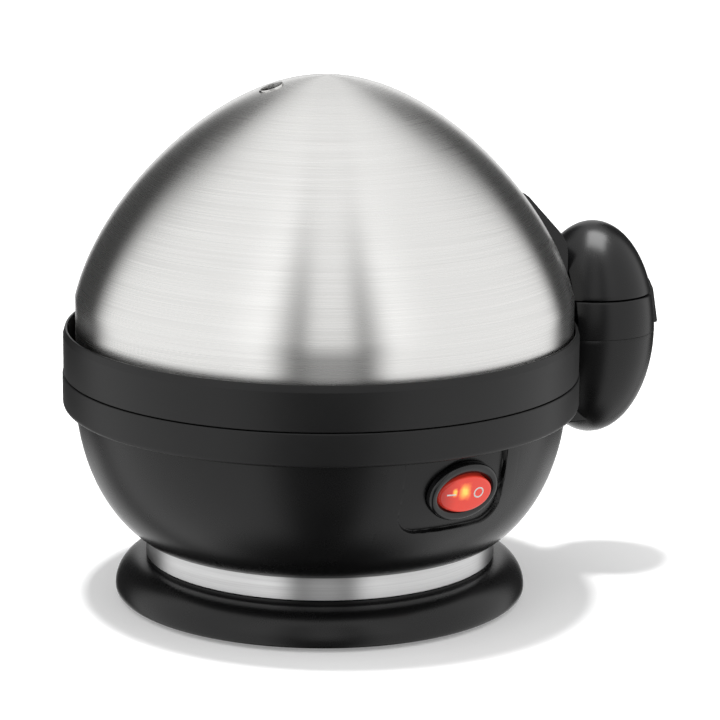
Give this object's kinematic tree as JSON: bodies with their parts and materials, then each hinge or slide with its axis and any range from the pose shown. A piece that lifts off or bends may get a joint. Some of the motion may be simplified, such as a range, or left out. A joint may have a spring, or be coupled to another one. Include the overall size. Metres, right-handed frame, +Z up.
{
  "type": "egg cooker",
  "caption": "Round electric egg cooker: a hinged steel dome lid over an egg tray and water pan, on a black bowl base with a lit rocker switch.",
  "frame": {"origin": "on the resting surface, under the middle of the object's bounding box", "axes": "+X from the cooker towards its hinge handle, +Z up; the rubber feet rest on z = 0"},
  "size_m": [0.2188, 0.181, 0.184],
  "materials": {
    "brushed_steel": "fine brushing round the axis",
    "polished_steel": "polished strip steel",
    "screw_steel": "zinc plated",
    "element_steel": "dull sheathed tube",
    "matt_black": "fine matt charcoal",
    "satin_black": "satin moulded black",
    "gloss_black": "gloss moulded black",
    "rubber": "matt",
    "red_lens": "clear red, lit from inside",
    "lamp_glass": "glowing neon capsule",
    "coated_pan": "non-stick coating",
    "aluminium": "cast, dull",
    "brass": "plain",
    "ceramic": "unglazed steatite",
    "silicone": "translucent grey",
    "lead_red": "braided sleeve",
    "lead_blue": "braided sleeve"
  },
  "bodies": {
    "base": {"hinge_collar": "satin_black", "handle_body_lower": "satin_black", "hinge_pin": "screw_steel", "handle_screw_1": "screw_steel", "handle_screw_2": "screw_steel", "base_rim": "matt_black", "bowl_housing": "satin_black", "steel_trim_ring": "polished_steel", "foot_skirt": "satin_black", "bottom_cover": "satin_black", "housing_screw_1": "screw_steel", "housing_screw_2": "screw_steel", "housing_screw_3": "screw_steel", "cover_screw_1": "screw_steel", "cover_screw_2": "screw_steel", "cover_screw_3": "screw_steel", "rubber_foot_1": "rubber", "rubber_foot_2": "rubber", "rubber_foot_3": "rubber", "cord_gland": "rubber", "cord_clamp": "satin_black", "water_pan": "coated_pan", "pan_seal": "silicone", "heat_plate": "aluminium", "heating_element": "element_steel", "element_terminal_1": "ceramic", "element_terminal_2": "ceramic", "thermostat": "ceramic", "thermal_fuse": "aluminium", "plate_nut_1": "brass", "plate_nut_2": "brass", "plate_nut_3": "brass", "terminal_block": "ceramic", "lead_live": "lead_red", "lead_switched": "lead_red", "lead_neutral": "lead_blue", "lead_heater": "lead_red", "switch_housing": "gloss_black", "neon_lamp": "lamp_glass", "switch_terminal_1": "brass", "switch_terminal_2": "brass", "switch_terminal_3": "brass"},
    "lid": {"dome_shell": "brushed_steel", "lid_ring": "matt_black", "hinge_shield": "satin_black", "handle_cap_upper": "satin_black", "shield_screw_1": "screw_steel", "shield_screw_2": "screw_steel"},
    "tray": {"egg_tray": "gloss_black"},
    "rocker": {"switch_rocker": "red_lens"}
  },
  "joints": [
    {"name": "lid_hinge", "type": "hinge", "parent": "base", "child": "lid", "pos_m": [0.10155, 0, 0.094], "axis": [0, 1, 0], "range_deg": [0, 85]},
    {"name": "tray_lift", "type": "slide", "parent": "base", "child": "tray", "axis": [0, 0, 1], "range_m": [0, 0.03]},
    {"name": "switch_rock", "type": "hinge", "parent": "base", "child": "rocker", "pos_m": [-0.00149, -0.07875, 0.05631], "axis": [0.0502, -0.2263, 0.9728], "range_deg": [0, 12]}
  ]
}
